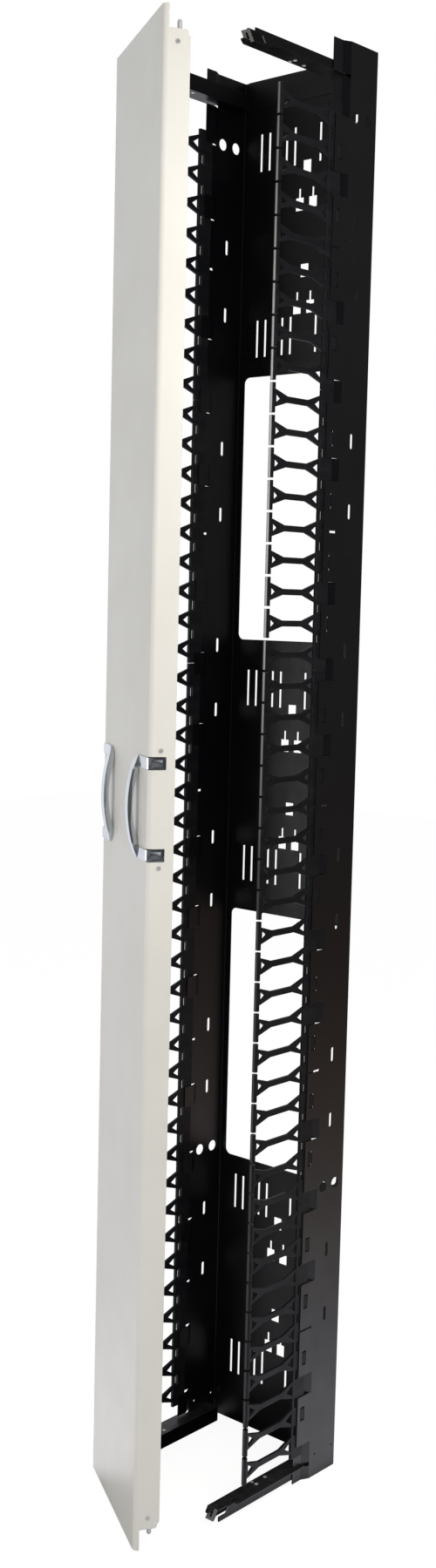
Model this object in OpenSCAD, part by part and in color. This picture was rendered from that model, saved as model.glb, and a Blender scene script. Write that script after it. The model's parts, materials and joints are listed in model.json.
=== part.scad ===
// Vertical cable manager for server racks: a folded steel channel that bolts between two racks,
// five finger segments down each side, four latch arms and a door that opens from either edge.
// Origin: middle of the rear face. +X right, +Y towards the rear, +Z up. Millimetres.

/* [Frame] */
// Width over the two side panels
frame_w = 254; // [246:1:300]
// Depth of the side panels
frame_d = 96; // [95:0.5:102]
// Height of one rack unit
rack_unit = 44.45; // [44:0.05:45]
// Thickness of the frame's folded sheet
sheet = 1.5; // [1.2:0.1:1.8]
// Outer radius of the frame's two long folds
fold_r = 3; // [2.5:0.5:5]
// Step of the joggled strips towards the inside
joggle_step = 6.2; // [6:0.1:7]
// Distance from the rear face to the start of the joggle
joggle_start = 64; // [60:0.5:66]
// Depth over which the joggle steps inwards
joggle_run = 12; // [8:0.5:13]
// Height of one lanced tab
tab_h = 33; // [24:1:36]
// Height of the hem along the top of the back panel
hem_h = 42; // [30:1:60]

/* [Back panel] */
// Width of the two large windows
window_w = 228; // [160:1:230]
// Height of the two large windows
window_h = 406.4; // [300:0.1:420]
// Corner radius of the windows
window_r = 10; // [5:1:20]
// From the panel's middle to the middle of each window
window_rise = 418.5; // [410:0.5:425]
// From the panel's middle to the upper and lower hole groups
zone_rise = 819.2; // [810:0.1:830]
// Width of the tie slits
slit_w = 4.5; // [3:0.1:6]
// Height of the tie slits
slit_h = 56; // [40:1:60]
// From a hole group's middle to each row of tie slits
slit_rise = 139.7; // [130:0.1:145]
// Width of the square holes and keyholes
key_w = 15.5; // [12:0.5:18]
// Height of the square part of a keyhole
key_h = 19; // [14:0.5:22]
// From a hole group's middle to the top of each keyhole
key_rise = 76.2; // [70:0.1:78]

/* [Side panels] */
// Width of the oblong rack bolt slots
bolt_slot_w = 6; // [5:0.1:8]
// Length of the oblong rack bolt slots
bolt_slot_l = 22; // [16:1:26]
// Distance of the bolt slots from the rear face
bolt_slot_y = 37; // [30:0.5:42]
// Spacing of the bolt slots in a pair
bolt_slot_pitch = 101.6; // [90:0.1:105]
// Height of the slot pattern's middle above the panel's middle
bolt_slot_shift = 2.4; // [-5:0.1:5]
// Diameter of the round pass holes
pass_d = 17; // [10:0.5:20]
// Distance between the two round pass holes
pass_pitch = 30; // [24:1:32]

/* [Finger segments] */
// Thickness of the moulded fingers
comb_t = 4; // [3.5:0.1:4.2]
// How far the fingers stand in front of the side panels
comb_reach = 121; // [110:1:130]
// Length of the bar across each finger tip
tbar_l = 40.8; // [34:0.2:41.4]
// Diameter of the bar across each finger tip
tbar_d = 8; // [6:0.2:10]
// Height of the finger's middle bar
finger_h = 8.6; // [6:0.2:12]
// Free gap between neighbouring segments
comb_gap = 0.6; // [0.4:0.1:1.5]
// Clearance between the segment strip and the sheet on either side of it
slip = 0.1; // [0.05:0.05:0.15]

/* [Arms] */
// From the pins' axis to the inner edge of each arm
arm_margin = 13; // [11:0.5:17]
// Thickness of an arm's sheet
arm_t = 2; // [1.5:0.1:2.5]
// From the rear face to the tip of an arm
arm_reach = 278; // [274:0.5:279]
// Height of an arm's inner flange
arm_inner_h = 23; // [18:0.5:24]
// Height of an arm's outer flange
arm_outer_h = 17.6; // [14:0.2:20]
// From the frame's lower end to the lower arms' plate
arm_low = 24.6; // [24:0.1:30]
// From the frame's upper end to the upper arms' plate
arm_high = 48.6; // [44:0.1:52]
// Width of the lead-in ramp
ramp_w = 15; // [12:0.5:16]

/* [Door] */
// Width of the door
door_w = 255; // [252:0.5:262]
// Depth of the door's side flanges
door_d = 37; // [36:0.5:42]
// Thickness of the door's sheet
door_t = 1.5; // [1.2:0.1:1.8]
// Radius of the door's front corners
door_r = 8; // [5:0.5:9]
// Gap between the ends of the side flanges and the arms
door_gap = 9; // [7:0.5:12]
// How far the door's face runs past the ends of the side flanges
door_overrun = 30; // [28:0.1:34]
// Angle by which the door stands open
door_open = 30.8; // [0:0.1:60]

/* [Latch] */
// Diameter of the latch pins
pin_d = 6.5; // [5.5:0.1:7]
// From the door's edges to the hinge and latch pins' axes
pin_inset = 17.5; // [16.5:0.5:18.5]
// Distance of the pins from the rear face
pin_y = 255; // [254:0.5:256]
// Distance of the pins behind the door's face
pin_depth = 27; // [26:0.5:27.5]
// Length of pin that reaches past an arm's plate
pin_engage = 8.2; // [6:0.1:8.4]
// Radial running clearance of the pins in the arms
pin_clear = 0.08; // [0.04:0.01:0.1]
// Sliding clearance of the rods in their guides
rod_clear = 0.15; // [0.1:0.05:0.3]
// Forward travel of a handle
handle_travel = 7; // [6:0.1:7]
// Rod travel for each millimetre of handle travel
rod_ratio = 1.5; // [1.3:0.05:1.5]

/* [Handles] */
// Spacing of a handle's two feet
handle_pitch = 125.4; // [110:0.2:130]
// Height of each foot
foot_h = 15.4; // [14.6:0.2:17]
// How far the bow stands in front of the door
bow_reach = 15.4; // [13:0.2:22]
// Thickness of the bow in the middle
bow_t = 7; // [5:0.2:9]
// Width of the bow
bow_w = 16; // [12:0.5:20]
// From the door's edge to the bow
bow_inset = 50; // [44:1:60]
// Outer corner radius of a handle, seen from the front
bow_corner = 18; // [12:1:24]
// Height of the handles' middle above the door's middle
handle_rise = 2.7; // [-10:0.1:10]
// How much further apart the carriers' two screws are than the handles' feet
carrier_spread = 34.6; // [34:0.2:46]

/* [Hidden] */
$fn = 48;

// overlap used only inside a cut, so that it breaks through the surface
cut = 1;

// finger grid
comb_count = 5;
comb_fingers = 9;
foot_units = 1;
head_units = 2;
comb_l = comb_fingers * rack_unit;
frame_h = (foot_units + comb_count * comb_fingers + head_units) * rack_unit;
frame_bottom = -frame_h / 2;
frame_top = frame_h / 2;
comb_bottom = frame_bottom + foot_units * rack_unit;
comb_top = frame_top - head_units * rack_unit;
function comb_mid(k) = comb_bottom + (k + 0.5) * comb_l;

// side panels
half_w = frame_w / 2;
joggle_end = joggle_start + joggle_run;
lap_x = half_w - joggle_step;
clip_h = 22;
clip_w = 9.5;
clip_y = 84.5;
relief_w = 3;
relief_y = 70;
relief_hole_d = 4.4;
pass_y = 36;
pass_rises = [966.2, -607.8];
pilot_d = 3.5;
pilot_rise = 35;
pilot_ys = [10, 51];

// back panel
slit_inner = 24.5;
slit_outer = 74.5;
slit_pair = 16.3;
key_slot_w = 4;
key_slot_h = 13.5;
key_pair = 25.4;
port_h = 19.5;
port_rise = 31.1;

// arms
arm_root = 24;
arm_out = lap_x;
arm_lap_y = 75;
door_half_w = door_w / 2;
pin_x = door_half_w - pin_inset;
arm_in = pin_x - arm_margin;
ramp_x = pin_x - 1;
arm_slot_in = 4.5;
arm_wing_y = 228;
slot_h = 6;
arm_low_z = frame_bottom + arm_low;
arm_high_z = frame_top - arm_high;
arm_front = arm_reach - 15;
arm_nose_w = 9;
relief_from = 240;
relief_depth = 10.6;
ramp_run = 10;
ramp_drop = 14;
ramp_slot_w = 4;
arm_hole_d = 4;
arm_mid_z = (arm_low_z + arm_high_z) / 2;

// door, in its closed place
door_front = pin_y + pin_depth;
flange_in = door_half_w - door_t;
flange_half_h = (arm_high_z - arm_low_z) / 2 - door_gap;
door_half_h = flange_half_h + door_overrun;
flange_notch = 8.5;
seat = 0.1;

// latch rods and their guides
pin_r = pin_d / 2;
rod_travel = handle_travel * rod_ratio;
guide_h = 32;
guide_wall = 3.2;
guide_screw_y = 20;
guide_screw_drop = 16.5;

// handles, carriers and screws
handle_z = arm_mid_z + handle_rise;
foot_rise = handle_pitch / 2;
foot_back = 22;
foot_proud = 1.4;
foot_t = 4.4;
foot_room = 1.2;
foot_cut_back = 24.4;
foot_cut_in = 9.5;
foot_dish = 0.6;
foot_rim = 3;
strap_start = 9;
strap_t = 2;
strap_gap = 0.3;
strap_bend = 9;
bow_half = foot_rise + foot_h / 2;
bow_end = 3;
bow_far = bow_inset + bow_w;
grip_margin = 6;
grip_half = bow_half - foot_h - grip_margin;
grip_corner = 5;
strap_slope = 6;
strap_shoulder = 1;
strap_lap = 1;
cam_h = 17;
cam_pin_r = 1.8;
cam_clear = 0.2;
cam_t = 3;
cam_gap = 1;
cam_x = pin_x + pin_r + cam_gap;
cam_back = pin_depth + handle_travel + cam_pin_r + cam_clear + 1;
bridge_from = 14;
bridge_to = 21;
carrier_pitch = handle_pitch + carrier_spread;
carrier_wall = 2.5;
carrier_in = pin_x - 12;
carrier_back = 36;
carrier_block = 16;
carrier_screw_y = 16.5;
spring_box_h = 88;
screw_shank_r = 1.6;
screw_head_r = 3;
screw_head_h = 1.2;
screw_l = 10;
screw_clear = 0.3;

// colours
coat = [0.09, 0.09, 0.1];
moulding = [0.05, 0.05, 0.06];
paint = [0.87, 0.85, 0.81];
chrome = [0.8, 0.82, 0.84];
steel = [0.62, 0.64, 0.66];
dark_moulding = [0.16, 0.16, 0.17];

// ---------------------------------------------------------------- shared shapes

// Oblong with round ends, long side along the second axis
module oblong(w, l) {
    square([w, l - w], center = true);
    for (end = [-1, 1])
        translate([0, end * (l - w) / 2])
            circle(d = w);
}

// Rectangle with round corners, centred
module rounded(w, l, r) {
    square([w - 2 * r, l], center = true);
    square([w, l - 2 * r], center = true);
    for (sx = [-1, 1], sy = [-1, 1])
        translate([sx * (w / 2 - r), sy * (l / 2 - r)])
            circle(r);
}

// Quarter ring of sheet, its centre at the origin, bulging towards +x and +y
module fold_arc(r, t) {
    intersection() {
        difference() {
            circle(r);
            circle(r - t);
        }
        square(r + cut);
    }
}

// Draws the children on the right-hand side, or mirrored on the left
module on_side(side) {
    if (side > 0)
        children();
    else
        mirror([1, 0, 0])
            children();
}

// Cuts children drawn in (y, z) through the side panel on the right
module through_side(from, depth) {
    translate([from, 0, 0])
        rotate([90, 0, 90])
            linear_extrude(depth)
                children();
}

// ---------------------------------------------------------------- frame

// Back and the rear part of both side panels, seen from above
module channel_outline() {
    translate([-half_w + fold_r, -sheet])
        square([frame_w - 2 * fold_r, sheet]);
    for (side = [1, -1])
        on_side(side) {
            translate([half_w - fold_r, -fold_r])
                fold_arc(fold_r, sheet);
            translate([half_w - sheet, -joggle_start])
                square([sheet, joggle_start - fold_r]);
        }
}

// Front strip that stays flush with the rear part
module flush_strip() {
    translate([half_w - sheet, -frame_d])
        square([sheet, frame_d - joggle_start]);
}

// Front strip stepped inwards, so that a finger segment or an arm lies beside it
module joggled_strip() {
    polygon([
        [half_w, -joggle_start],
        [lap_x, -joggle_end],
        [lap_x, -frame_d],
        [lap_x - sheet, -frame_d],
        [lap_x - sheet, -joggle_end],
        [half_w - sheet, -joggle_start]
    ]);
}

// A length of a strip between two heights
module strip_between(low, high) {
    translate([0, 0, low])
        linear_extrude(high - low)
            children();
}

// Lower and upper ends of every lanced tab
tab_spans = [
    for (k = [0 : comb_count - 1], units = [-2, 2])
        let (z = comb_mid(k) + units * rack_unit)
            [z - tab_h / 2, z + tab_h / 2],
    for (k = [1 : comb_count - 1])
        let (z = comb_bottom + k * comb_l)
            [z - tab_h / 2, z + tab_h / 2]
];
slot_low = arm_low_z - arm_t / 2 - slot_h / 2;
slot_high = arm_high_z + arm_t / 2 - slot_h / 2;

module side_strips() {
    difference() {
        strip_between(comb_bottom + tab_h / 2, comb_top - tab_h / 2)
            flush_strip();
        for (span = tab_spans)
            strip_between(span[0], span[1])
                tab_clearing();
    }
    for (span = tab_spans)
        strip_between(span[0], span[1])
            joggled_strip();
    strip_between(slot_low + slot_h, comb_bottom + tab_h / 2)
        joggled_strip();
    strip_between(comb_top - tab_h / 2, slot_high)
        joggled_strip();
    strip_between(frame_bottom, slot_low)
        joggled_strip();
    strip_between(slot_high + slot_h, frame_top)
        joggled_strip();
}

// Clears the flush strip where a tab is lanced out of it
module tab_clearing() {
    translate([half_w - sheet - cut, -frame_d - cut])
        square([sheet + 2 * cut, frame_d - joggle_start + cut]);
}

module side_holes() {
    for (k = [0 : comb_count - 1]) {
        for (units = [-3, -1, 1, 3])
            translate([-clip_y, comb_mid(k) + units * rack_unit])
                square([clip_w, clip_h], center = true);
        translate([-frame_d - cut, comb_mid(k) - relief_w / 2])
            square([frame_d + cut - relief_y, relief_w]);
        translate([-relief_y, comb_mid(k)])
            circle(d = relief_hole_d);
    }
    for (step = [1, 2, 4, 5, 7, 8], way = [-1, 1])
        translate([-bolt_slot_y, bolt_slot_shift + way * step * bolt_slot_pitch])
            oblong(bolt_slot_w, bolt_slot_l);
    for (rise = pass_rises, way = [-1, 1])
        translate([-pass_y + way * pass_pitch / 2, rise])
            circle(d = pass_d);
    for (y = pilot_ys)
        translate([-y, frame_bottom + pilot_rise])
            circle(d = pilot_d);
}

module back_holes() {
    for (way = [-1, 1])
        translate([0, way * window_rise])
            rounded(window_w, window_h, window_r);
    for (zone = [-1, 0, 1], way = [-1, 1])
        translate([0, zone * zone_rise]) {
            for (side = [-1, 1], x = [slit_inner, slit_outer], n = [0, 1])
                translate([side * (x + n * slit_pair), way * slit_rise])
                    square([slit_w, slit_h], center = true);
            translate([0, way * key_rise])
                key_group();
        }
}

// One square port above a pair of keyholes
module key_group() {
    translate([0, port_rise])
        square([key_w, port_h], center = true);
    for (side = [-1, 1])
        translate([side * key_pair / 2, 0]) {
            translate([-key_slot_w / 2, -key_slot_h - cut])
                square([key_slot_w, key_slot_h + cut]);
            translate([-key_w / 2, -key_slot_h - key_h])
                square([key_w, key_h]);
        }
}

module spine() {
    color(coat)
        difference() {
            union() {
                strip_between(frame_bottom, frame_top)
                    channel_outline();
                for (side = [1, -1])
                    on_side(side)
                        side_strips();
                translate([-half_w + fold_r + joggle_step, -2 * sheet, frame_top - hem_h])
                    cube([frame_w - 2 * (fold_r + joggle_step), sheet, hem_h]);
            }
            for (side = [1, -1])
                on_side(side)
                    through_side(lap_x, joggle_step + cut)
                        side_holes();
            translate([0, cut, 0])
                rotate([90, 0, 0])
                    linear_extrude(3 * sheet + cut)
                        back_holes();
        }
}

// ---------------------------------------------------------------- finger segments

comb_x = lap_x + slip;
strip_back = 80;
strip_front = 107;
finger_tip = frame_d + comb_reach;
tip_bar_y = finger_tip - tbar_d / 2;
leg_root = 13.7;
leg_tip = 12;
bar_from = 135;
bar_to = 182;
tip_flare = 208;
web = 2.6;
tie_hole_w = 6;
tie_hole_l = 16;
tie_hole_y = 100;
boss_h = 17;
boss_w = 7.5;
strip_t = half_w - sheet - slip - comb_x;

// Outline of one finger, (distance in front, height), its tip to the right
module finger_outline() {
    difference() {
        polygon([
            [strip_front - cut, leg_root],
            [strip_front, leg_root],
            [bar_from, finger_h / 2],
            [bar_to, finger_h / 2],
            [tip_flare, leg_tip],
            [tip_bar_y, leg_tip],
            [tip_bar_y, -leg_tip],
            [tip_flare, -leg_tip],
            [bar_to, -finger_h / 2],
            [bar_from, -finger_h / 2],
            [strip_front, -leg_root],
            [strip_front - cut, -leg_root]
        ]);
        polygon([
            [strip_front + 1, leg_root - 2 * web],
            [bar_from - 5 * web, 0],
            [strip_front + 1, -leg_root + 2 * web]
        ]);
        polygon([
            [tip_flare - 1, leg_tip - 1.6 * web],
            [bar_to + 5.2 * web, 0],
            [tip_flare - 1, -leg_tip + 1.6 * web]
        ]);
    }
}

// Strip that slides between the flush strips and the tabs, with its tie holes
module strip_outline(length) {
    difference() {
        translate([strip_back, -length / 2])
            square([strip_front - strip_back, length]);
        for (n = [-comb_fingers / 2 + 1 : comb_fingers / 2 - 1])
            translate([tie_hole_y, n * rack_unit])
                oblong(tie_hole_w, tie_hole_l);
    }
}

module comb(side, k) {
    color(moulding)
        on_side(side)
            translate([comb_x, 0, comb_mid(k)])
                mirror([0, 1, 0]) {
                    through_side(0, strip_t)
                        strip_outline(comb_l - comb_gap);
                    for (n = [-(comb_fingers - 1) / 2 : (comb_fingers - 1) / 2])
                        translate([0, 0, n * rack_unit]) {
                            through_side((strip_t - comb_t) / 2, comb_t)
                                finger_outline();
                            translate([strip_t / 2, tip_bar_y, -tbar_l / 2])
                                cylinder(d = tbar_d, h = tbar_l);
                        }
                    for (units = [-3, -1, 1, 3])
                        translate([strip_t, clip_y - boss_w / 2, units * rack_unit - boss_h / 2])
                            cube([sheet, boss_w, boss_h]);
                }
}

// ---------------------------------------------------------------- arms

// Plate of an arm, (x, distance in front)
module arm_outline() {
    difference() {
        polygon([
            [arm_in, arm_root],
            [arm_out, arm_root],
            [arm_out, arm_lap_y],
            [half_w, arm_lap_y],
            [half_w, arm_wing_y - 3],
            [half_w - 3, arm_wing_y],
            [arm_out, arm_wing_y],
            [arm_out, relief_from],
            [arm_out - 3, relief_from + 5],
            [arm_out - 3, arm_front],
            [arm_in + arm_nose_w + 5, arm_front],
            [arm_in + arm_nose_w + 5, arm_reach],
            [arm_in + arm_nose_w, arm_reach],
            [arm_in, arm_front]
        ]);
        translate([pin_x, pin_y])
            circle(pin_r + pin_clear);
        for (spot = [[arm_in + 3.4, 168], [arm_in + 12.2, 168], [arm_in + 7.8, 143]])
            translate(spot)
                circle(d = arm_hole_d);
        translate([arm_out - arm_slot_in, arm_wing_y - 1])
            oblong(arm_hole_d, 2.4 * arm_hole_d);
    }
}

// Ramp that lifts a latch pin onto the plate, (distance in front, height below the plate)
module ramp_outline() {
    polygon([
        [arm_front - arm_t, 0],
        [arm_front, 0],
        [arm_front + ramp_run, -ramp_drop],
        [arm_front + ramp_run - arm_t, -ramp_drop],
        [arm_front - arm_t, -arm_t]
    ]);
}

// A lower arm on the right, its plate's upper face at z = 0
module arm_shape() {
    mirror([0, 1, 0]) {
        translate([0, 0, -arm_t])
            linear_extrude(arm_t)
                arm_outline();
        through_side(arm_in, arm_t)
            polygon([
                [arm_root, 0],
                [arm_front, 0],
                [arm_front, -arm_inner_h + 8],
                [arm_front - 8, -arm_inner_h],
                [arm_root, -arm_inner_h]
            ]);
        through_side(lap_x - sheet - arm_t, arm_t)
            polygon([
                [arm_root, 0],
                [relief_from, 0],
                [relief_from + 8, -relief_depth],
                [arm_front, -relief_depth],
                [arm_front, -arm_outer_h],
                [arm_root, -arm_outer_h]
            ]);
        difference() {
            through_side(ramp_x - ramp_w / 2, ramp_w)
                ramp_outline();
            translate([ramp_x, arm_front + ramp_run / 2, -ramp_drop / 2])
                cube([ramp_slot_w, ramp_run / 2, ramp_drop], center = true);
        }
    }
}

module arm(side, top) {
    color(coat)
        on_side(side)
            translate([0, 0, top ? arm_high_z : arm_low_z])
                mirror([0, 0, top ? 1 : 0])
                    arm_shape();
}

// ---------------------------------------------------------------- door

// Turns what is drawn for the closed door to where the door stands
module at_door() {
    translate([-pin_x, -pin_y, 0])
        rotate([0, 0, -door_open])
            translate([pin_x, pin_y, 0])
                children();
}

// Face and rounded corners of the door, seen from above
module face_outline() {
    translate([-door_half_w + door_r, -door_front])
        square([door_w - 2 * door_r, door_t]);
    for (side = [1, -1])
        on_side(side)
            translate([door_half_w - door_r, -door_front + door_r])
                mirror([0, 1, 0])
                    fold_arc(door_r, door_t);
}

// Side flange of the door, (y, z) about the door's middle, with its stepped ends
module flange_outline() {
    polygon([
        for (end = [1, -1], p = end > 0
            ? [[door_r, 0], [door_d - 6, 0], [door_d - 3.2, 2.5], [door_d - 3.2, 5.5], [door_d, flange_notch]]
            : [[door_d, flange_notch], [door_d - 3.2, 5.5], [door_d - 3.2, 2.5], [door_d - 6, 0], [door_r, 0]])
            [-door_front + p[0], end * (flange_half_h - p[1])]
    ]);
}

// Places of the screws on a side flange, [distance behind the face, height]
screw_spots = [
    for (end = [1, -1])
        [guide_screw_y, arm_mid_z + end * (flange_half_h - guide_screw_drop)],
    for (end = [1, -1])
        [carrier_screw_y, handle_z + end * carrier_pitch / 2]
];

module door_panel() {
    color(paint)
        at_door()
            difference() {
                union() {
                    translate([0, 0, arm_mid_z - door_half_h])
                        linear_extrude(2 * door_half_h)
                            face_outline();
                    for (side = [1, -1])
                        on_side(side)
                            translate([0, 0, arm_mid_z])
                                through_side(flange_in, door_t)
                                    flange_outline();
                }
                for (side = [1, -1])
                    on_side(side) {
                        for (spot = screw_spots)
                            translate([flange_in - cut, -door_front + spot[0], spot[1]])
                                rotate([0, 90, 0])
                                    cylinder(r = screw_shank_r + screw_clear, h = door_t + 2 * cut);
                        for (end = [1, -1])
                            translate([
                                door_half_w - foot_cut_in,
                                -door_front - cut,
                                handle_z + end * foot_rise - foot_h / 2 - foot_room
                            ])
                                cube([foot_cut_in + cut, foot_cut_back + cut, foot_h + 2 * foot_room]);
                    }
            }
}

// One screw at the right-hand flange, its axis along x
module flange_screw() {
    rotate([0, 90, 0])
        difference() {
            union() {
                translate([0, 0, flange_in - screw_l])
                    cylinder(r = screw_shank_r, h = screw_l + door_t);
                translate([0, 0, door_half_w])
                    cylinder(r1 = screw_head_r, r2 = 0.7 * screw_head_r, h = screw_head_h);
            }
            translate([0, 0, door_half_w + 0.3 * screw_head_h])
                cylinder(r = 1.2, h = screw_head_h, $fn = 6);
        }
}

module door_screws() {
    color(steel)
        at_door()
            for (side = [1, -1], spot = screw_spots)
                on_side(side)
                    translate([0, -door_front + spot[0], spot[1]])
                        flange_screw();
}

// ---------------------------------------------------------------- latch

// Block in the end of a flange that guides a latch rod
module pin_guide(side, top) {
    end = top ? 1 : -1;
    color(dark_moulding)
        at_door()
            on_side(side)
                difference() {
                    translate([0, 0, arm_mid_z + end * (flange_half_h - guide_h / 2 - flange_notch / 4) - guide_h / 2])
                        linear_extrude(guide_h)
                            guide_outline();
                    translate([
                        flange_in - screw_l - cut,
                        -door_front + guide_screw_y,
                        arm_mid_z + end * (flange_half_h - guide_screw_drop)
                    ])
                        rotate([0, 90, 0])
                            cylinder(r = screw_shank_r + seat, h = screw_l + 2 * cut);
                }
}

module guide_outline() {
    difference() {
        union() {
            translate([pin_x, -door_front + pin_depth])
                circle(pin_r + guide_wall);
            translate([pin_x - pin_r - guide_wall, -door_front + door_t + seat])
                square([2 * (pin_r + guide_wall), pin_depth - door_t - seat]);
            translate([pin_x, -door_front + door_r])
                square([flange_in - seat - pin_x, pin_depth - door_r + pin_r]);
        }
        translate([pin_x, -door_front + pin_depth])
            circle(pin_r + rod_clear);
        translate([pin_x, -door_front + door_t + seat + guide_wall + 5])
            square([6, 5], center = true);
    }
}

// Latch rod: a round-nosed pin, a long rod and the cross pin that rides in the handle's cam slot
module rod(side, top) {
    end = top ? 1 : -1;
    tip = end > 0 ? arm_high_z + pin_engage : arm_low_z - pin_engage;
    cam_z = handle_z + end * (foot_rise + rod_travel / 2);
    heel = cam_z - end * (cam_pin_r + 2);
    color(steel)
        at_door()
            on_side(side)
                translate([pin_x, -door_front + pin_depth, 0]) {
                    translate([0, 0, min(heel, tip - end * pin_r)])
                        cylinder(r = pin_r, h = abs(tip - heel) - pin_r);
                    translate([0, 0, tip - end * pin_r])
                        sphere(pin_r);
                    translate([0, 0, cam_z])
                        rotate([0, 90, 0])
                            cylinder(r = cam_pin_r, h = cam_x - pin_x + cam_t + 0.6);
                }
}

// Moulded carrier behind a handle, which guides both rods and boxes in the return springs
module handle_carrier(side) {
    half_l = carrier_pitch / 2 + carrier_block / 2;
    front = -door_front + door_t + seat;
    depth = carrier_back - door_t - seat;
    color(dark_moulding)
        at_door()
            on_side(side)
                translate([0, 0, handle_z])
                    difference() {
                        union() {
                            translate([carrier_in, front, -half_l])
                                cube([carrier_wall, depth, 2 * half_l]);
                            translate([carrier_in, front, -half_l])
                                cube([door_half_w - door_r - carrier_in - 2, carrier_wall, 2 * half_l]);
                            for (end = [1, -1])
                                translate([
                                    carrier_in,
                                    -door_front + door_r,
                                    end * carrier_pitch / 2 - carrier_block / 2
                                ])
                                    cube([flange_in - seat - carrier_in, carrier_back - door_r, carrier_block]);
                            translate([carrier_in, front, -spring_box_h / 2])
                                cube([door_half_w - door_r - carrier_in - 2, depth, spring_box_h]);
                        }
                        for (end = [1, -1]) {
                            translate([
                                pin_x,
                                -door_front + pin_depth,
                                end * carrier_pitch / 2 - carrier_block / 2 - cut
                            ])
                                cylinder(r = pin_r + rod_clear, h = carrier_block + 2 * cut);
                            translate([
                                flange_in - screw_l - cut,
                                -door_front + carrier_screw_y,
                                end * carrier_pitch / 2
                            ])
                                rotate([0, 90, 0])
                                    cylinder(r = screw_shank_r + seat, h = screw_l + 2 * cut);
                        }
                    }
}

// ---------------------------------------------------------------- handles

// Radius of the circle that rises by a given amount over a chord of a given half length
function arc_radius(half, rise) = (half * half + rise * rise) / (2 * rise);

// Disc whose edge passes through (low, +-half) and (high, 0)
module bow_disc(half, low, high) {
    r = arc_radius(half, high - low);
    translate([high - r, 0])
        circle(r, $fn = 96);
}

// Side of a handle: domed outside, hollow behind the bow, (distance in front of the door, height)
module bow_side() {
    difference() {
        intersection() {
            bow_disc(bow_half, bow_end, bow_reach);
            translate([strap_gap, -bow_half - cut])
                square([bow_reach + cut - strap_gap, 2 * (bow_half + cut)]);
        }
        bow_disc(grip_half, strap_gap, bow_reach - bow_t);
    }
}

// Front of a handle: a bow with two straps that run out to the door's edge, (x, height)
module bow_front() {
    far = door_half_w - bow_far;
    near = door_half_w - bow_inset;
    edge = door_half_w - strap_start;
    opening = foot_rise - foot_h / 2;
    intersection() {
        difference() {
            translate([far + bow_far, 0])
                rounded(2 * bow_far, 2 * bow_half, bow_corner);
            translate([near + bow_far, 0])
                rounded(2 * bow_far, 2 * opening, grip_corner);
        }
        translate([far - cut, -bow_half - cut])
            square([edge - far + cut, 2 * (bow_half + cut)]);
    }
}

// What the straps lack above their own thickness, (x, distance in front of the door)
module strap_relief() {
    polygon([
        [door_half_w - bow_inset + strap_shoulder, bow_reach + cut],
        [door_half_w - bow_inset + strap_shoulder, bow_reach],
        [door_half_w - bow_inset + strap_slope, strap_t],
        [door_half_w + cut, strap_t],
        [door_half_w + cut, bow_reach + cut]
    ]);
}

// Bow and straps in front of the door's face
module bow() {
    difference() {
        intersection() {
            translate([0, -door_front, 0])
                rotate([90, 0, 0])
                    linear_extrude(bow_reach + cut)
                        bow_front();
            translate([door_half_w - bow_far - cut, -door_front, 0])
                rotate([90, 0, 90])
                    linear_extrude(bow_far + cut)
                        mirror([1, 0, 0])
                            bow_side();
        }
        translate([0, -door_front, -bow_half - cut])
            linear_extrude(2 * (bow_half + cut))
                mirror([0, 1, 0])
                    strap_relief();
    }
}

// Strap end that turns round the door's corner onto the flange, (x, y) from above
module leg_outline() {
    x_out = door_half_w + foot_proud;
    x_bend = x_out - strap_bend;
    y_bend = -door_front - strap_t + strap_bend;
    translate([x_bend, y_bend])
        mirror([0, 1])
            fold_arc(strap_bend, foot_t);
    translate([x_out - foot_t, y_bend])
        square([foot_t, -door_front + foot_back - y_bend]);
    polygon([
        [x_bend, -door_front - strap_t],
        [x_bend, -door_front - strap_gap],
        [door_half_w - strap_start - strap_lap, -door_front - strap_gap],
        [door_half_w - strap_start - strap_lap, -door_front - strap_t]
    ]);
}

// Bridge from the foot to the cam plate inside the door, (x, y) from above
module bridge_outline() {
    translate([cam_x, -door_front + bridge_from])
        square([door_half_w + foot_proud - foot_t / 2 - cam_x, bridge_to - bridge_from]);
}

// Cam plate inside the door, (x, y) from above
module cam_outline() {
    translate([cam_x, -door_front + bridge_from])
        square([cam_t, cam_back - bridge_from]);
}

// Slanted slot that turns the handle's travel into the rod's, upper foot
module cam_slot() {
    angle = atan(rod_ratio);
    length = norm([handle_travel, rod_travel]);
    translate([cam_x - cut, -door_front + pin_depth, rod_travel / 2])
        rotate([-angle, 0, 0])
            rotate([0, 90, 0]) {
                for (along = [0, length])
                    translate([0, along, 0])
                        cylinder(r = cam_pin_r + cam_clear, h = cam_t + 2 * cut);
                translate([-cam_pin_r - cam_clear, 0, 0])
                    cube([2 * (cam_pin_r + cam_clear), length, cam_t + 2 * cut]);
            }
}

module handle_foot() {
    difference() {
        union() {
            translate([0, 0, -foot_h / 2])
                linear_extrude(foot_h) {
                    leg_outline();
                    bridge_outline();
                }
            translate([0, 0, -cam_h / 2])
                linear_extrude(cam_h)
                    cam_outline();
        }
        cam_slot();
        translate([
            door_half_w + foot_proud - foot_dish,
            -door_front + foot_rim,
            -foot_h / 2 + foot_rim
        ])
            cube([foot_dish + cut, foot_back - 2 * foot_rim, foot_h - 2 * foot_rim]);
    }
}

module handle(side) {
    color(chrome)
        at_door()
            on_side(side)
                translate([0, 0, handle_z]) {
                    bow();
                    for (end = [1, -1])
                        mirror([0, 0, end > 0 ? 0 : 1])
                            translate([0, 0, foot_rise])
                                handle_foot();
                }
}

// ---------------------------------------------------------------- nodes

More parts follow.
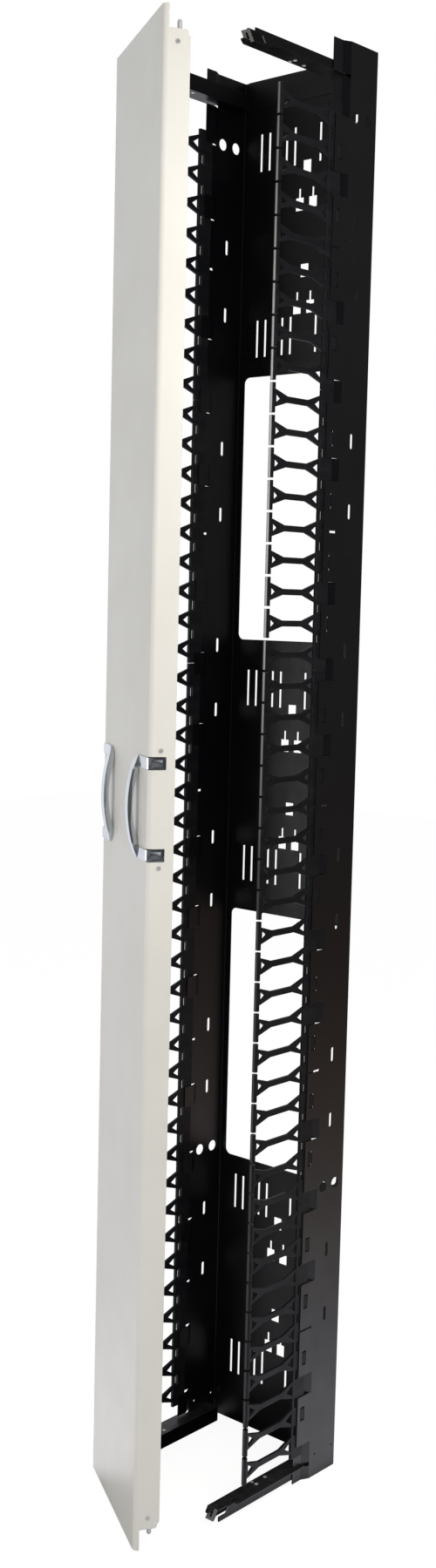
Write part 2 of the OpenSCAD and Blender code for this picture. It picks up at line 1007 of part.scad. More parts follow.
spine();
comb(-1, 0);  // comb_left_1
comb(-1, 1);  // comb_left_2
comb(-1, 2);  // comb_left_3
comb(-1, 3);  // comb_left_4
comb(-1, 4);  // comb_left_5
comb(1, 0);  // comb_right_1
comb(1, 1);  // comb_right_2
comb(1, 2);  // comb_right_3
comb(1, 3);  // comb_right_4
comb(1, 4);  // comb_right_5
arm(-1, false);  // arm_bottom_left
arm(1, false);  // arm_bottom_right
arm(-1, true);  // arm_top_left
arm(1, true);  // arm_top_right
door_panel();
door_screws();
pin_guide(-1, false);  // pin_guide_bottom_left
pin_guide(1, false);  // pin_guide_bottom_right
pin_guide(-1, true);  // pin_guide_top_left
pin_guide(1, true);  // pin_guide_top_right
handle_carrier(-1);  // handle_carrier_left
handle_carrier(1);  // handle_carrier_right
handle(-1);  // handle_left
handle(1);  // handle_right
rod(-1, false);  // rod_bottom_left
rod(1, false);  // rod_bottom_right
rod(-1, true);  // rod_top_left
rod(1, true);  // rod_top_right
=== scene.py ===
"""Finishes and details for a vertical cable manager: an add-on that is run as a script."""

import json
import math

import bpy
from mathutils import Matrix, Vector

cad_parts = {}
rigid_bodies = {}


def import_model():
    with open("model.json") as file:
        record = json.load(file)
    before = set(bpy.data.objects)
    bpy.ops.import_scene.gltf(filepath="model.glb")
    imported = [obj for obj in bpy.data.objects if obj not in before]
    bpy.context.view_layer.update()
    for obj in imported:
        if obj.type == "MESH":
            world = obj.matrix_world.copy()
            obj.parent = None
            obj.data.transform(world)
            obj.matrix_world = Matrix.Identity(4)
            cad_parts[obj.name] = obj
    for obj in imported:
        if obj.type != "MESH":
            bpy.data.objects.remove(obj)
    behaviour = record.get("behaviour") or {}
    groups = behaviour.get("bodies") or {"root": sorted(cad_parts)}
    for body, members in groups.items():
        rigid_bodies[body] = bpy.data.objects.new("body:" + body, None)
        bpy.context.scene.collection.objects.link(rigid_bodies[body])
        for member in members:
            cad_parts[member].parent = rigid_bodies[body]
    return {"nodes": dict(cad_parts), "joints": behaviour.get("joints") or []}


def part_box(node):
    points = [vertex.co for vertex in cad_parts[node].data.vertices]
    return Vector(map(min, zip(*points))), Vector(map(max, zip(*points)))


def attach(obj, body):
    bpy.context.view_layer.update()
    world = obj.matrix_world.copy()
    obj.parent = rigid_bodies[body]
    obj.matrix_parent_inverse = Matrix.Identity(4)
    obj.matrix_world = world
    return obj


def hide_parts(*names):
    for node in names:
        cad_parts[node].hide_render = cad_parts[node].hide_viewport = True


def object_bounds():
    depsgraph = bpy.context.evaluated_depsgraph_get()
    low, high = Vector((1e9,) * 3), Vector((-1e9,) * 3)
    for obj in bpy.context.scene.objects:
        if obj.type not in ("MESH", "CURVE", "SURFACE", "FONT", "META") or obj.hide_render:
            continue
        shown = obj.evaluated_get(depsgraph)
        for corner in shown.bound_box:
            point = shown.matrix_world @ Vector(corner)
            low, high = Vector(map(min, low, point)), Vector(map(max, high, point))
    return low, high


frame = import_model()
CAD_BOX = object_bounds()

bl_info = {
    "name": "Vertical Cable Manager Finishes",
    "version": (1, 0, 0),
    "blender": (4, 5, 0),
    "location": "View3D > Sidebar > Cable Manager",
    "description": "Coats, mouldings, plated handles, screws and a studio for a cable manager",
    "category": "Object",
}

SIDES = ("left", "right")
ENDS = ("bottom", "top")
COMBS = [f"comb_{side}_{number}" for side in SIDES for number in range(1, 6)]
ARMS = [f"arm_{end}_{side}" for end in ENDS for side in SIDES]
RODS = [f"rod_{end}_{side}" for end in ENDS for side in SIDES]
GUIDES = [f"pin_guide_{end}_{side}" for end in ENDS for side in SIDES]
CARRIERS = [f"handle_carrier_{side}" for side in SIDES]
WHITE = (1.0, 1.0, 1.0, 1.0)
# Colour of settled dust
DUST = (0.36, 0.35, 0.33, 1.0)
# How far the CAD screws' heads stand out of the door's flanges
SCREW_PROUD = 0.0012
# Rivets of an arm: in from the arm's inner edge, and forward of the rear face
RIVET_GRID = ((0.0034, 0.168), (0.0122, 0.168), (0.0078, 0.143))
# Rings of a domed screw head: width over the head's radius, and drop over its height
DOME_RINGS = ((0.10, 0.10), (0.16, 0.10), (0.22, 0.07))
# Painted highlight down a finger's front: where it starts to fade and where it ends, from its
# middle
HIGHLIGHT_HALF = (0.0014, 0.0037)
# Side of the floor, and how far it lies below the lowest solid
FLOOR_SIZE = 14.0
FLOOR_GAP = 0.0005
# The bright pool on the floor lies outside the channel, and sets in over these spans:
# out from the middle to either side, and back from the rear face
POOL_SIDE = (0.10, 0.15)
POOL_BACK = (0.0, 0.05)
# What the lamps aim at
LAMP_AIM = Vector((0.0, -0.15, 0.0))


# ------------------------------------------------------------------ sizes and colours

def colour_property(name, description, default):
    """A colour that a user may change."""
    return bpy.props.FloatVectorProperty(
        name=name, description=description, default=(*default, 1.0), size=4,
        subtype="COLOR", min=0.0, max=1.0)


def length_property(name, description, default, largest):
    """A length in metres that a user may change."""
    return bpy.props.FloatProperty(
        name=name, description=description, default=default, min=0.0, max=largest,
        subtype="DISTANCE", unit="LENGTH", precision=5)


def share_property(name, description, default, largest=1.0):
    """A plain number from nought upwards that a user may change."""
    return bpy.props.FloatProperty(
        name=name, description=description, default=default, min=0.0, max=largest, subtype="FACTOR")


def power_property(name, description, default):
    """A lamp's power in watts that a user may change."""
    return bpy.props.FloatProperty(
        name=name, description=description, default=default, min=0.0, unit="POWER")


def angle_property(name, description, degrees):
    """An angle that a user may change."""
    return bpy.props.FloatProperty(
        name=name, description=description, default=math.radians(degrees), subtype="ANGLE")


class CoatSettings(bpy.types.PropertyGroup):
    """Powder coat of the frame and its arms."""
    colour: colour_property("Coat", "Black powder coat", (0.0016, 0.0016, 0.0026))
    thin_colour: colour_property("Thin coat", "Coat where it lies thinner or catches dust",
                                 (0.0030, 0.0030, 0.0040))
    rubbed_colour: colour_property("Rubbed edge", "Coat polished along folded and cut edges",
                                   (0.045, 0.046, 0.050))
    # Painted sheen: a paler grey on the sloped lead-ins at the arm tips that stands in for the
    # coat's reflection
    ramp_sheen_colour: colour_property("Ramp", "Bare lead-in at the arm tips", (0.170, 0.175, 0.175))
    grain: length_property("Grain", "Size of the coat's orange peel", 0.0022, 0.02)
    edge: length_property("Edge", "Radius of the eased sheet edges", 0.0006, 0.005)


class MouldingSettings(bpy.types.PropertyGroup):
    """Plastic of the finger combs and the latch blocks."""
    comb_colour: colour_property("Comb", "Black moulded fingers", (0.0060, 0.0064, 0.0080))
    comb_bloom: colour_property("Comb bloom", "Pale bloom on the handled fingers",
                                (0.0120, 0.0125, 0.0145))
    comb_edge: colour_property("Comb edges", "Fingers' edges where cables rub them",
                               (0.070, 0.072, 0.076))
    # Painted highlight: a pale strip down the fingers' fronts that stands in for a lamp's
    # highlight, strongest from 0.35 m to 0.55 m up
    comb_tip_highlight: colour_property("Comb tips", "Fingers' fronts, polished pale at hand height",
                              (0.52, 0.53, 0.54))
    block_colour: colour_property("Block", "Grey latch blocks", (0.105, 0.108, 0.112))
    block_bloom: colour_property("Block bloom", "Paler flow marks in the latch blocks",
                                 (0.150, 0.152, 0.155))
    grain: length_property("Grain", "Size of the eroded mould texture", 0.0009, 0.01)
    edge: length_property("Edge", "Radius of the moulded edges", 0.0008, 0.005)


class DoorSettings(bpy.types.PropertyGroup):
    """Pale coat of the door."""
    colour: colour_property("Door", "Pale door coat", (0.700, 0.690, 0.660))
    shade: colour_property("Door shade", "Slightly deeper tone in the coat", (0.640, 0.628, 0.596))
    rubbed_colour: colour_property("Rubbed edge", "Coat polished along the folds",
                                   (0.840, 0.835, 0.815))
    grain: length_property("Grain", "Size of the coat's orange peel", 0.0020, 0.02)
    edge: length_property("Edge", "Radius of the eased sheet edges", 0.0006, 0.005)


class MetalSettings(bpy.types.PropertyGroup):
    """Plated handles, rods and screws."""
    chrome_colour: colour_property("Chrome", "Plating of the pull handles", (0.650, 0.690, 0.735))
    zinc_colour: colour_property("Zinc", "Plating of the rods and screws", (0.560, 0.565, 0.570))
    zinc_dull: colour_property("Dull zinc", "Duller patches of the zinc", (0.400, 0.405, 0.410))
    handle_edge: length_property("Handle edge", "Rounding of the handles' edges", 0.0007, 0.004)
    rivet_colour: colour_property("Rivet", "Bright heads of the arm rivets", (0.780, 0.785, 0.790))
    head_radius: length_property("Screw head", "Radius of a screw's head", 0.0032, 0.01)
    head_height: length_property("Screw head height", "Height of a screw's head", 0.0011, 0.005)
    recess: length_property("Recess", "Width of the screws' cross recess", 0.0008, 0.003)
    shank: length_property("Shank", "Length of a screw below its head", 0.0100, 0.02)
    rivet_radius: length_property("Rivet radius", "Radius of a rivet's heads", 0.0029, 0.006)
    rivet_height: length_property("Rivet height", "Height of a rivet between its domes",
                                  0.0032, 0.006)
    plate: length_property("Arm plate", "Thickness of an arm's plate", 0.0020, 0.005)


class StudioSettings(bpy.types.PropertyGroup):
    """Floor, light and camera."""
    floor_colour: colour_property("Floor", "Pale floor", (0.86, 0.86, 0.86))
    floor_level: share_property("Floor level", "Brightness of the floor as the camera sees it",
                                1.22, 4.0)
    floor_share: share_property("Floor glow", "Share of the floor's look that shadows can't darken",
                                0.75)
    pool_level: share_property("Pool level", "Brightness of the floor near the part in reflections",
                               6.0, 12.0)
    pool_radius: length_property("Pool radius", "Distance at which that brightness has halved",
                                 0.65, 5.0)
    near_colour: bpy.props.FloatVectorProperty(
        name="Near floor", description="Tint of the floor near the part in reflections",
        default=(0.97, 0.97, 1.04, 1.0), size=4, subtype="COLOR", min=0.0, max=2.0)
    far_colour: colour_property("Far floor", "Tint of the floor far from the part in reflections",
                                (1.0, 0.70, 0.52))
    left_wall: colour_property("Left wall", "Pale wall on the left in reflections",
                               (0.93, 0.96, 1.0))
    right_wall: colour_property("Right wall", "Dark wall on the right in reflections",
                                (0.07, 0.075, 0.085))
    world_level: share_property("Room light", "Light that comes from all round", 0.34, 2.0)
    upper_walls: share_property("Upper walls", "Brightness of the upper walls in reflections", 0.20)
    key_power: power_property("Key lamp", "Power of the large lamp on the right", 33.0)
    side_power: power_property("Side lamp", "Power of the near lamp beside the door", 10.2)
    fill_power: power_property("Fill lamp", "Power of the lamp on the left", 33.0)
    key_colour: colour_property("Key colour", "Tint of the lamps on the right", (1.0, 0.972, 0.915))
    camera_place: bpy.props.FloatVectorProperty(
        name="Camera", description="Place of the camera",
        default=(1.6716, -2.0451, 0.2681), subtype="TRANSLATION")
    heading: angle_property("Heading", "Turn of the camera about the vertical", 41.071)
    pitch: angle_property("Pitch", "Tilt of the camera below the level", -5.733)
    roll: angle_property("Roll", "Roll of the camera", 1.425)
    reach: bpy.props.FloatProperty(
        name="Reach", description="Focal length over the sensor's height", default=1.0882, min=0.1)
    shift: bpy.props.FloatVectorProperty(
        name="Shift", description="Sideways and upward shift of the frame",
        default=(-0.01203, -0.0045), size=2)


# ------------------------------------------------------------------ modelling

def unpick():
    """Leaves nothing selected, so that a new primitive is all that is worked on."""
    if bpy.context.object and bpy.context.object.mode != "OBJECT":
        bpy.ops.object.mode_set(mode="OBJECT")
    bpy.ops.object.select_all(action="DESELECT")


def pick(piece):
    """Leaves this object alone selected and active."""
    unpick()
    piece.select_set(True)
    bpy.context.view_layer.objects.active = piece


def settle(piece, name):
    """Puts a finished piece's place into its mesh and names it."""
    pick(piece)
    bpy.ops.object.transform_apply(location=True, rotation=True, scale=True)
    piece.name = name
    piece.data.name = name
    return piece


def apply_modifier(piece, kind, **settings):
    """Adds one modifier, sets it and applies it."""
    pick(piece)
    modifier = piece.modifiers.new(kind.lower(), kind)
    for key, value in settings.items():
        setattr(modifier, key, value)
    bpy.ops.object.modifier_apply(modifier=modifier.name)


def merged_copy(node, name):
    """A copy of a CAD node with its loose triangles joined into one clean skin."""
    pick(frame["nodes"][node])
    bpy.ops.object.duplicate(linked=False)
    piece = bpy.context.object
    bpy.ops.object.parent_clear(type="CLEAR_KEEP_TRANSFORM")
    bpy.ops.object.mode_set(mode="EDIT")
    bpy.ops.mesh.select_all(action="SELECT")
    bpy.ops.mesh.remove_doubles(threshold=0.00001)
    bpy.ops.mesh.dissolve_limited(angle_limit=math.radians(0.4))
    bpy.ops.mesh.normals_make_consistent(inside=False)
    bpy.ops.object.mode_set(mode="OBJECT")
    piece.data.materials.clear()
    return settle(piece, name)


def soften(piece, radius, steps=3, least_angle=35.0):
    """Rounds the sharp edges of a piece and shades it smooth over them."""
    apply_modifier(piece, "BEVEL", width=radius, segments=steps, limit_method="ANGLE",
                   angle_limit=math.radians(least_angle), use_clamp_overlap=True)
    pick(piece)
    bpy.ops.object.shade_smooth_by_angle(angle=math.radians(30))


def select_faces(piece, wanted):
    """Selects the faces that pass a test, ready for edit mode."""
    pick(piece)
    bpy.ops.object.mode_set(mode="EDIT")
    bpy.ops.mesh.select_mode(type="FACE")
    bpy.ops.mesh.select_all(action="DESELECT")
    bpy.ops.object.mode_set(mode="OBJECT")
    for face in piece.data.polygons:
        face.select = wanted(face)


# ------------------------------------------------------------------ places on the CAD nodes

def door_turn():
    """How far the door stands open at rest, from its hinge's closed limit."""
    hinge = next(joint for joint in frame["joints"] if joint["name"] == "door_hinge")
    return math.radians(hinge["range_deg"][1])


def loose_parts(node):
    """Corner points of each loose part of a CAD node."""
    merged_copy(node, "loose_parts")
    bpy.ops.object.mode_set(mode="EDIT")
    bpy.ops.mesh.select_all(action="SELECT")
    bpy.ops.mesh.separate(type="LOOSE")
    bpy.ops.object.mode_set(mode="OBJECT")
    corners = []
    for part in [part for part in bpy.context.selected_objects if part.type == "MESH"]:
        corners.append([vertex.co.copy() for vertex in part.data.vertices])
        bpy.data.objects.remove(part)
    return corners


def screw_places():
    """Seat of each door screw's head and the way it points."""
    turn = door_turn()
    across = Vector((math.cos(turn), -math.sin(turn), 0.0))
    middle = sum((Vector(corner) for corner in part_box("door_panel")), Vector()) / 2
    places = []
    for points in loose_parts("door_screws"):
        centre = sum(points, Vector()) / len(points)
        outward = across if (centre - middle).dot(across) > 0 else -across
        reach = max(point.dot(outward) for point in points)
        seat = centre + outward * (reach - SCREW_PROUD - centre.dot(outward))
        places.append((seat, outward))
    return places


def rivet_spots(metal, end, side):
    """Middles of the three small holes in an arm's plate."""
    low, high = (Vector(corner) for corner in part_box(f"arm_{end}_{side}"))
    level = low.z + metal.plate / 2 if end == "top" else high.z - metal.plate / 2
    inner, outwards = (low.x, 1.0) if side == "right" else (high.x, -1.0)
    return [Vector((inner + outwards * across, -back, level)) for across, back in RIVET_GRID]


# ------------------------------------------------------------------ shader groups

def new_group(name, inputs, outputs):
    """A shader node group with named sockets; returns the tree and its two end nodes."""
    tree = bpy.data.node_groups.new(name, "ShaderNodeTree")
    for title, kind, default in inputs:
        socket = tree.interface.new_socket(name=title, in_out="INPUT", socket_type=kind)
        socket.default_value = default
    for title, kind in outputs:
        tree.interface.new_socket(name=title, in_out="OUTPUT", socket_type=kind)
    return tree, tree.nodes.new("NodeGroupInput"), tree.nodes.new("NodeGroupOutput")


def maths(tree, operation, first, second=None, third=None):
    """One Math node; numbers are set on its sockets and sockets are linked."""
    node = tree.nodes.new("ShaderNodeMath")
    node.operation = operation
    for index, value in enumerate((first, second, third)):
        if value is None:
            continue
        if isinstance(value, (int, float)):
            node.inputs[index].default_value = value
        else:
            tree.links.new(value, node.inputs[index])
    return node.outputs[0]


def between(tree, value, low, high, to_low=0.0, to_high=1.0):
    """Maps a value from one span to another and keeps it inside."""
    node = tree.nodes.new("ShaderNodeMapRange")
    tree.links.new(value, node.inputs["Value"])
    node.inputs["From Min"].default_value = low
    node.inputs["From Max"].default_value = high
    node.inputs["To Min"].default_value = to_low
    node.inputs["To Max"].default_value = to_high
    return node.outputs["Result"]


def noise(tree, vector, scale, detail=3.0, roughness=0.5):
    """A noise texture on a vector; its scale is a number or a socket."""
    node = tree.nodes.new("ShaderNodeTexNoise")
    tree.links.new(vector, node.inputs["Vector"])
    if isinstance(scale, (int, float)):
        node.inputs["Scale"].default_value = scale
    else:
        tree.links.new(scale, node.inputs["Scale"])
    node.inputs["Detail"].default_value = detail
    node.inputs["Roughness"].default_value = roughness
    return node.outputs["Fac"]


def object_place(tree):
    """Object coordinates."""
    return tree.nodes.new("ShaderNodeTexCoord").outputs["Object"]


def facing(tree):
    """The three parts of a surface's normal."""
    surface = tree.nodes.new("ShaderNodeNewGeometry")
    parts = tree.nodes.new("ShaderNodeSeparateXYZ")
    tree.links.new(surface.outputs["Normal"], parts.inputs["Vector"])
    return parts.outputs["X"], parts.outputs["Y"], parts.outputs["Z"]


def build_orange_peel():
    """Fine ripple of a sprayed or powder coat, with slow drifts of tone."""
    tree, start, end = new_group("orange_peel",
                                 [("Size", "NodeSocketFloat", 0.002)],
                                 [("Height", "NodeSocketFloat"), ("Drift", "NodeSocketFloat"),
                                  ("Gloss", "NodeSocketFloat")])
    place = object_place(tree)
    scale = maths(tree, "DIVIDE", 1.0, start.outputs["Size"])
    tree.links.new(noise(tree, place, scale, 2.0, 0.45), end.inputs["Height"])
    drift = noise(tree, place, 3.1, 4.0, 0.6)
    tree.links.new(between(tree, drift, 0.30, 0.72), end.inputs["Drift"])
    gloss = noise(tree, place, 21.0, 5.0, 0.62)
    tree.links.new(between(tree, gloss, 0.25, 0.78), end.inputs["Gloss"])
    return tree


def build_mould_texture():
    """Eroded grain of a moulded surface with faint flow marks along its length."""
    tree, start, end = new_group("mould_texture",
                                 [("Size", "NodeSocketFloat", 0.001)],
                                 [("Height", "NodeSocketFloat"), ("Flow", "NodeSocketFloat"),
                                  ("Gloss", "NodeSocketFloat")])
    place = object_place(tree)
    scale = maths(tree, "DIVIDE", 1.0, start.outputs["Size"])
    cells = tree.nodes.new("ShaderNodeTexVoronoi")
    tree.links.new(place, cells.inputs["Vector"])
    tree.links.new(scale, cells.inputs["Scale"])
    fine = noise(tree, place, maths(tree, "MULTIPLY", scale, 0.5), 2.0, 0.5)
    height = maths(tree, "ADD", maths(tree, "MULTIPLY", cells.outputs["Distance"], 0.6), fine)
    tree.links.new(height, end.inputs["Height"])
    stretch = tree.nodes.new("ShaderNodeMapping")
    stretch.inputs["Scale"].default_value = (1.0, 0.25, 6.0)
    tree.links.new(place, stretch.inputs["Vector"])
    flow = noise(tree, stretch.outputs["Vector"], 11.0, 3.0, 0.55)
    tree.links.new(between(tree, flow, 0.42, 0.78), end.inputs["Flow"])
    gloss = noise(tree, place, 34.0, 4.0, 0.6)
    tree.links.new(between(tree, gloss, 0.25, 0.75), end.inputs["Gloss"])
    return tree


def build_eased_edge():
    """Rounded-over normal of a sharp edge, and where that edge has been rubbed."""
    tree, start, end = new_group("eased_edge",
                                 [("Radius", "NodeSocketFloat", 0.0006),
                                  ("Rub", "NodeSocketFloat", 0.5)],
                                 [("Normal", "NodeSocketVector"), ("Rubbed", "NodeSocketFloat")])
    ease = tree.nodes.new("ShaderNodeBevel")
    ease.samples = 4
    tree.links.new(start.outputs["Radius"], ease.inputs["Radius"])
    tree.links.new(ease.outputs["Normal"], end.inputs["Normal"])
    surface = tree.nodes.new("ShaderNodeNewGeometry")
    dot = tree.nodes.new("ShaderNodeVectorMath")
    dot.operation = "DOT_PRODUCT"
    tree.links.new(ease.outputs["Normal"], dot.inputs[0])
    tree.links.new(surface.outputs["Normal"], dot.inputs[1])
    turned = maths(tree, "SUBTRACT", 1.0, dot.outputs["Value"])
    near = between(tree, turned, 0.01, 0.22)
    patches = between(tree, noise(tree, object_place(tree), 55.0, 5.0, 0.65), 0.38, 0.66)
    rubbed = maths(tree, "MULTIPLY", maths(tree, "MULTIPLY", near, patches), start.outputs["Rub"])
    tree.links.new(rubbed, end.inputs["Rubbed"])
    return tree


def build_handling_marks():
    """Fine scuffs and short scratches, mostly in patches."""
    tree, start, end = new_group("handling_marks",
                                 [("Amount", "NodeSocketFloat", 0.5)],
                                 [("Scratch", "NodeSocketFloat"), ("Smudge", "NodeSocketFloat")])
    place = object_place(tree)
    lean = tree.nodes.new("ShaderNodeMapping")
    lean.inputs["Rotation"].default_value = (0.5, 0.9, 0.35)
    lean.inputs["Scale"].default_value = (14.0, 240.0, 240.0)
    tree.links.new(place, lean.inputs["Vector"])
    lines = between(tree, noise(tree, lean.outputs["Vector"], 1.0, 2.0, 0.4), 0.70, 0.78)
    patches = between(tree, noise(tree, place, 7.0, 3.0, 0.55), 0.50, 0.68)
    scratch = maths(tree, "MULTIPLY", maths(tree, "MULTIPLY", lines, patches),
                    start.outputs["Amount"])
    tree.links.new(scratch, end.inputs["Scratch"])
    smudge = between(tree, noise(tree, place, 12.0, 5.0, 0.7), 0.46, 0.74)
    tree.links.new(maths(tree, "MULTIPLY", smudge, start.outputs["Amount"]), end.inputs["Smudge"])
    return tree


def build_settled_dust():
    """Thin dust on what faces upwards."""
    tree, start, end = new_group("settled_dust",
                                 [("Amount", "NodeSocketFloat", 0.3)],
                                 [("Dust", "NodeSocketFloat")])
    upward = between(tree, facing(tree)[2], 0.55, 0.98)
    broken = between(tree, noise(tree, object_place(tree), 90.0, 6.0, 0.7), 0.32, 0.70)
    dust = maths(tree, "MULTIPLY", maths(tree, "MULTIPLY", upward, broken), start.outputs["Amount"])
    tree.links.new(dust, end.inputs["Dust"])
    return tree


GROUP_BUILDERS = {
    "orange_peel": build_orange_peel,
    "mould_texture": build_mould_texture,
    "eased_edge": build_eased_edge,
    "handling_marks": build_handling_marks,
    "settled_dust": build_settled_dust,
}


def effect(tree, name, **values):
    """Places one of the shared groups in a material with its own values."""
    group = bpy.data.node_groups.get(name) or GROUP_BUILDERS[name]()
    node = tree.nodes.new("ShaderNodeGroup")
    node.node_tree = group
    for key, value in values.items():
        node.inputs[key.replace("_", " ")].default_value = value
    return node


def blend(tree, share, first, second):
    """Mixes two colours by a mask; a colour is a plain value or a socket."""
    node = tree.nodes.new("ShaderNodeMix")
    node.data_type = "RGBA"
    tree.links.new(share, node.inputs[0])
    # The colour inputs of a Mix node are sockets 6 and 7
    for index, value in ((6, first), (7, second)):
        if isinstance(value, bpy.types.NodeSocket):
            tree.links.new(value, node.inputs[index])
        else:
            node.inputs[index].default_value = tuple(value)
    return node.outputs[2]


def ripple(tree, height, strength, distance, normal=None):
    """A Bump node on a height."""
    node = tree.nodes.new("ShaderNodeBump")
    node.inputs["Strength"].default_value = strength
    node.inputs["Distance"].default_value = distance
    tree.links.new(height, node.inputs["Height"])
    if normal is not None:
        tree.links.new(normal, node.inputs["Normal"])
    return node.outputs["Normal"]


def new_material(name):
    """A material with its Principled shader; returns the material, its tree and the shader."""
    material = bpy.data.materials.new(name)
    material.use_nodes = True
    tree = material.node_tree
    tree.nodes.clear()
    shader = tree.nodes.new("ShaderNodeBsdfPrincipled")
    out = tree.nodes.new("ShaderNodeOutputMaterial")
    tree.links.new(shader.outputs["BSDF"], out.inputs["Surface"])
    return material, tree, shader


def coat_material(name, base, thin, rubbed, grain, edge, rub, dull, relief):
    """Powder coat over sheet steel."""
    material, tree, shader = new_material(name)
    peel = effect(tree, "orange_peel", Size=grain)
    eased = effect(tree, "eased_edge", Radius=edge, Rub=rub)
    marks = effect(tree, "handling_marks", Amount=0.5)
    dust = effect(tree, "settled_dust", Amount=0.10)
    tone = blend(tree, peel.outputs["Drift"], base, thin)
    tone = blend(tree, eased.outputs["Rubbed"], tone, rubbed)
    tone = blend(tree, marks.outputs["Scratch"], tone, rubbed)
    tone = blend(tree, dust.outputs["Dust"], tone, DUST)
    tree.links.new(tone, shader.inputs["Base Color"])
    gloss = between(tree, peel.outputs["Gloss"], 0.0, 1.0, dull - 0.05, dull + 0.06)
    gloss = maths(tree, "SUBTRACT", gloss, maths(tree, "MULTIPLY", eased.outputs["Rubbed"], 0.12))
    gloss = maths(tree, "ADD", gloss, maths(tree, "MULTIPLY", marks.outputs["Smudge"], 0.06))
    tree.links.new(gloss, shader.inputs["Roughness"])
    tree.links.new(ripple(tree, peel.outputs["Height"], relief, 0.0002, eased.outputs["Normal"]),
                   shader.inputs["Normal"])
    return material, tree, shader


def moulded_material(name, base, bloom, rubbed, grain, edge, dull):
    """Moulded plastic with an eroded surface."""
    material, tree, shader = new_material(name)
    texture = effect(tree, "mould_texture", Size=grain)
    eased = effect(tree, "eased_edge", Radius=edge, Rub=0.8)
    marks = effect(tree, "handling_marks", Amount=0.35)
    tone = blend(tree, texture.outputs["Flow"], base, bloom)
    tone = blend(tree, eased.outputs["Rubbed"], tone, rubbed)
    tone = blend(tree, marks.outputs["Smudge"], tone, bloom)
    tree.links.new(tone, shader.inputs["Base Color"])
    gloss = between(tree, texture.outputs["Gloss"], 0.0, 1.0, dull - 0.05, dull + 0.07)
    tree.links.new(gloss, shader.inputs["Roughness"])
    tree.links.new(ripple(tree, texture.outputs["Height"], 0.35, 0.00012, eased.outputs["Normal"]),
                   shader.inputs["Normal"])
    return material, tree, shader


def plated_material(name, base, dull_tone, smooth, dull, relief, metallic=1.0):
    """Plated metal with faint polishing marks and finger marks."""
    material, tree, shader = new_material(name)
    peel = effect(tree, "orange_peel", Size=0.0012)
    marks = effect(tree, "handling_marks", Amount=0.6)
    tone = blend(tree, peel.outputs["Drift"], base, dull_tone)
    tone = blend(tree, marks.outputs["Scratch"], tone, dull_tone)
    tree.links.new(tone, shader.inputs["Base Color"])
    shader.inputs["Metallic"].default_value = metallic
    gloss = between(tree, marks.outputs["Smudge"], 0.0, 0.6, smooth, dull)
    tree.links.new(gloss, shader.inputs["Roughness"])
    tree.links.new(ripple(tree, peel.outputs["Height"], relief, 0.0001), shader.inputs["Normal"])
    return material


def overlay(tree, shader, mask, colour):
    """Lays one more colour over a finished material's own, where the mask says."""
    under = shader.inputs["Base Color"].links[0].from_socket
    tree.links.new(blend(tree, mask, under, colour), shader.inputs["Base Color"])


def wear(nodes, material):
    """Gives CAD nodes one material."""
    for name in nodes:
        node = frame["nodes"][name]
        for entry in node.material_slots:
            entry.material = material


# ------------------------------------------------------------------ operators

class CABLEMANAGER_OT_frame(bpy.types.Operator):
    """Black powder coat on the folded frame and its four latch arms, with a painted sheen on the
    arms' sloped lead-ins
    """
    bl_idname = "cable_manager.frame"
    bl_label = "Coat the Frame"

    def execute(self, context):
        coat = context.scene.cable_coat
        material, _, shader = coat_material(
            "frame_coat", coat.colour, coat.thin_colour, coat.rubbed_colour, coat.grain, coat.edge,
            0.55, 0.42, 0.5)
        shader.inputs["Specular IOR Level"].default_value = 0.42
        wear(["spine"], material)
        arm_material, tree, shader = coat_material(
            "arm_coat_with_sheen", coat.colour, coat.thin_colour, coat.rubbed_colour, coat.grain, coat.edge,
            0.7, 0.40, 0.5)
        shader.inputs["Specular IOR Level"].default_value = 0.28
        # Painted sheen: faces of the arms that are neither upright nor flat get a paler grey laid
        # over them
        sheen_slope = maths(tree, "ABSOLUTE", facing(tree)[2])
        sheen_slope = maths(tree, "MULTIPLY", between(tree, sheen_slope, 0.15, 0.35),
                      between(tree, sheen_slope, 0.97, 0.88))
        overlay(tree, shader, sheen_slope, coat.ramp_sheen_colour)
        wear(ARMS, arm_material)
        return {"FINISHED"}


